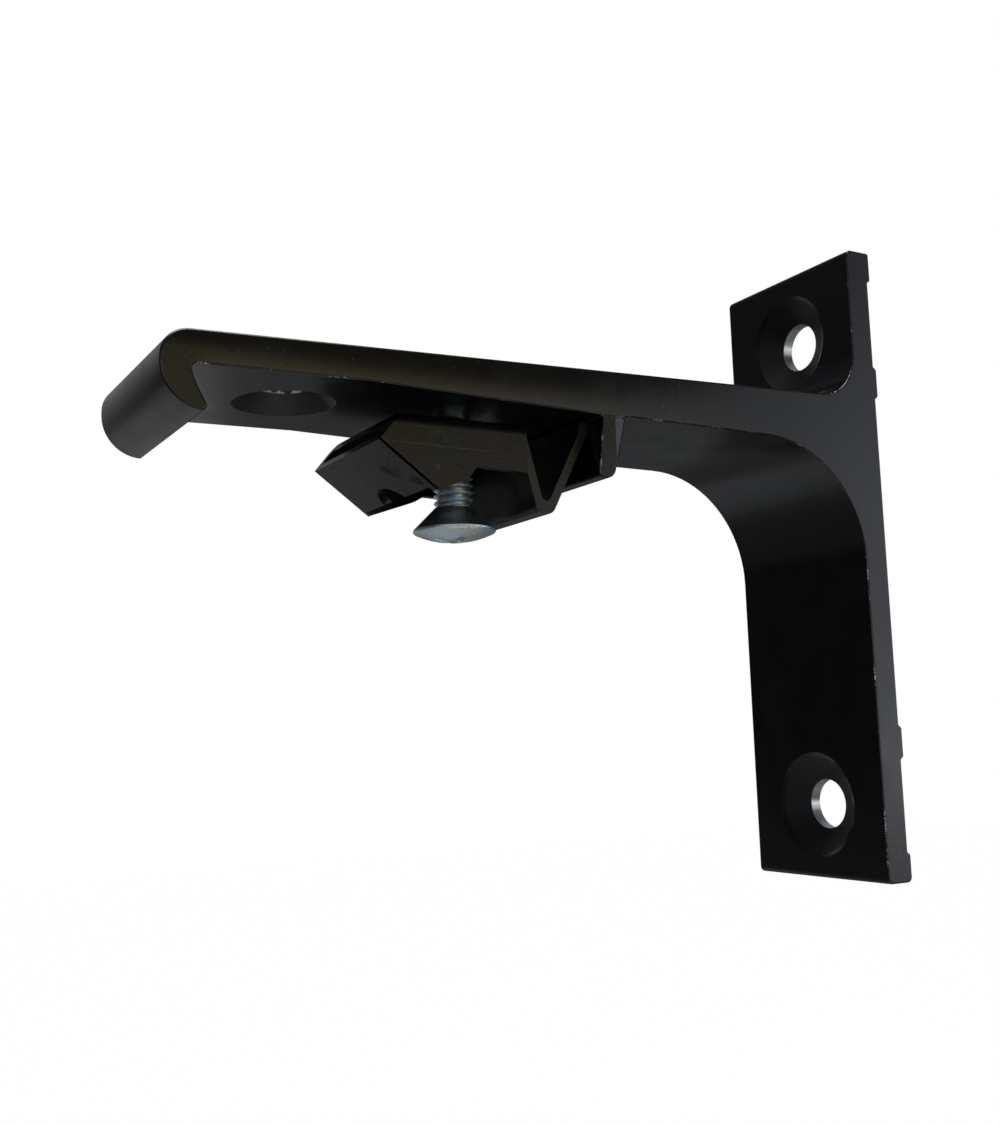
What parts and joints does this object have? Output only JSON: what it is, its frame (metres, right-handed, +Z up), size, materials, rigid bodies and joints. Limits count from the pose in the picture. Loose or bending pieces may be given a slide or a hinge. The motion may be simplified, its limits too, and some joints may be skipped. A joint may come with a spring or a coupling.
{
  "type": "curtain pole bracket",
  "caption": "Wall bracket cut from extrusion, with a hooked arm and a folded lever clamp that a screw tightens against the rail.",
  "frame": {"origin": "midway between the two wall screw holes, on the plane of the wall", "axes": "+Z up, -Y out from the wall along the arm, X across the width; the wall holes run along Y"},
  "size_m": [0.0206, 0.0814, 0.0704],
  "materials": {
    "coated_aluminium": "satin black coating",
    "painted_steel": "satin black paint, scuffed",
    "zinc_steel": "bright zinc plating"
  },
  "bodies": {
    "bracket": {"bracket": "coated_aluminium"},
    "clamp": {"clamp": "painted_steel"},
    "clamp_screw": {"clamp_screw": "zinc_steel"}
  },
  "joints": [
    {"name": "clamp_swing", "type": "hinge", "parent": "bracket", "child": "clamp", "pos_m": [0, -0.03783, 0.01255], "axis": [-1, 0, 0], "range_deg": [0, 3]},
    {"name": "screw_travel", "type": "slide", "parent": "bracket", "child": "clamp_screw", "axis": [0, 0, 1], "range_m": [-0.003, 0.003]}
  ]
}
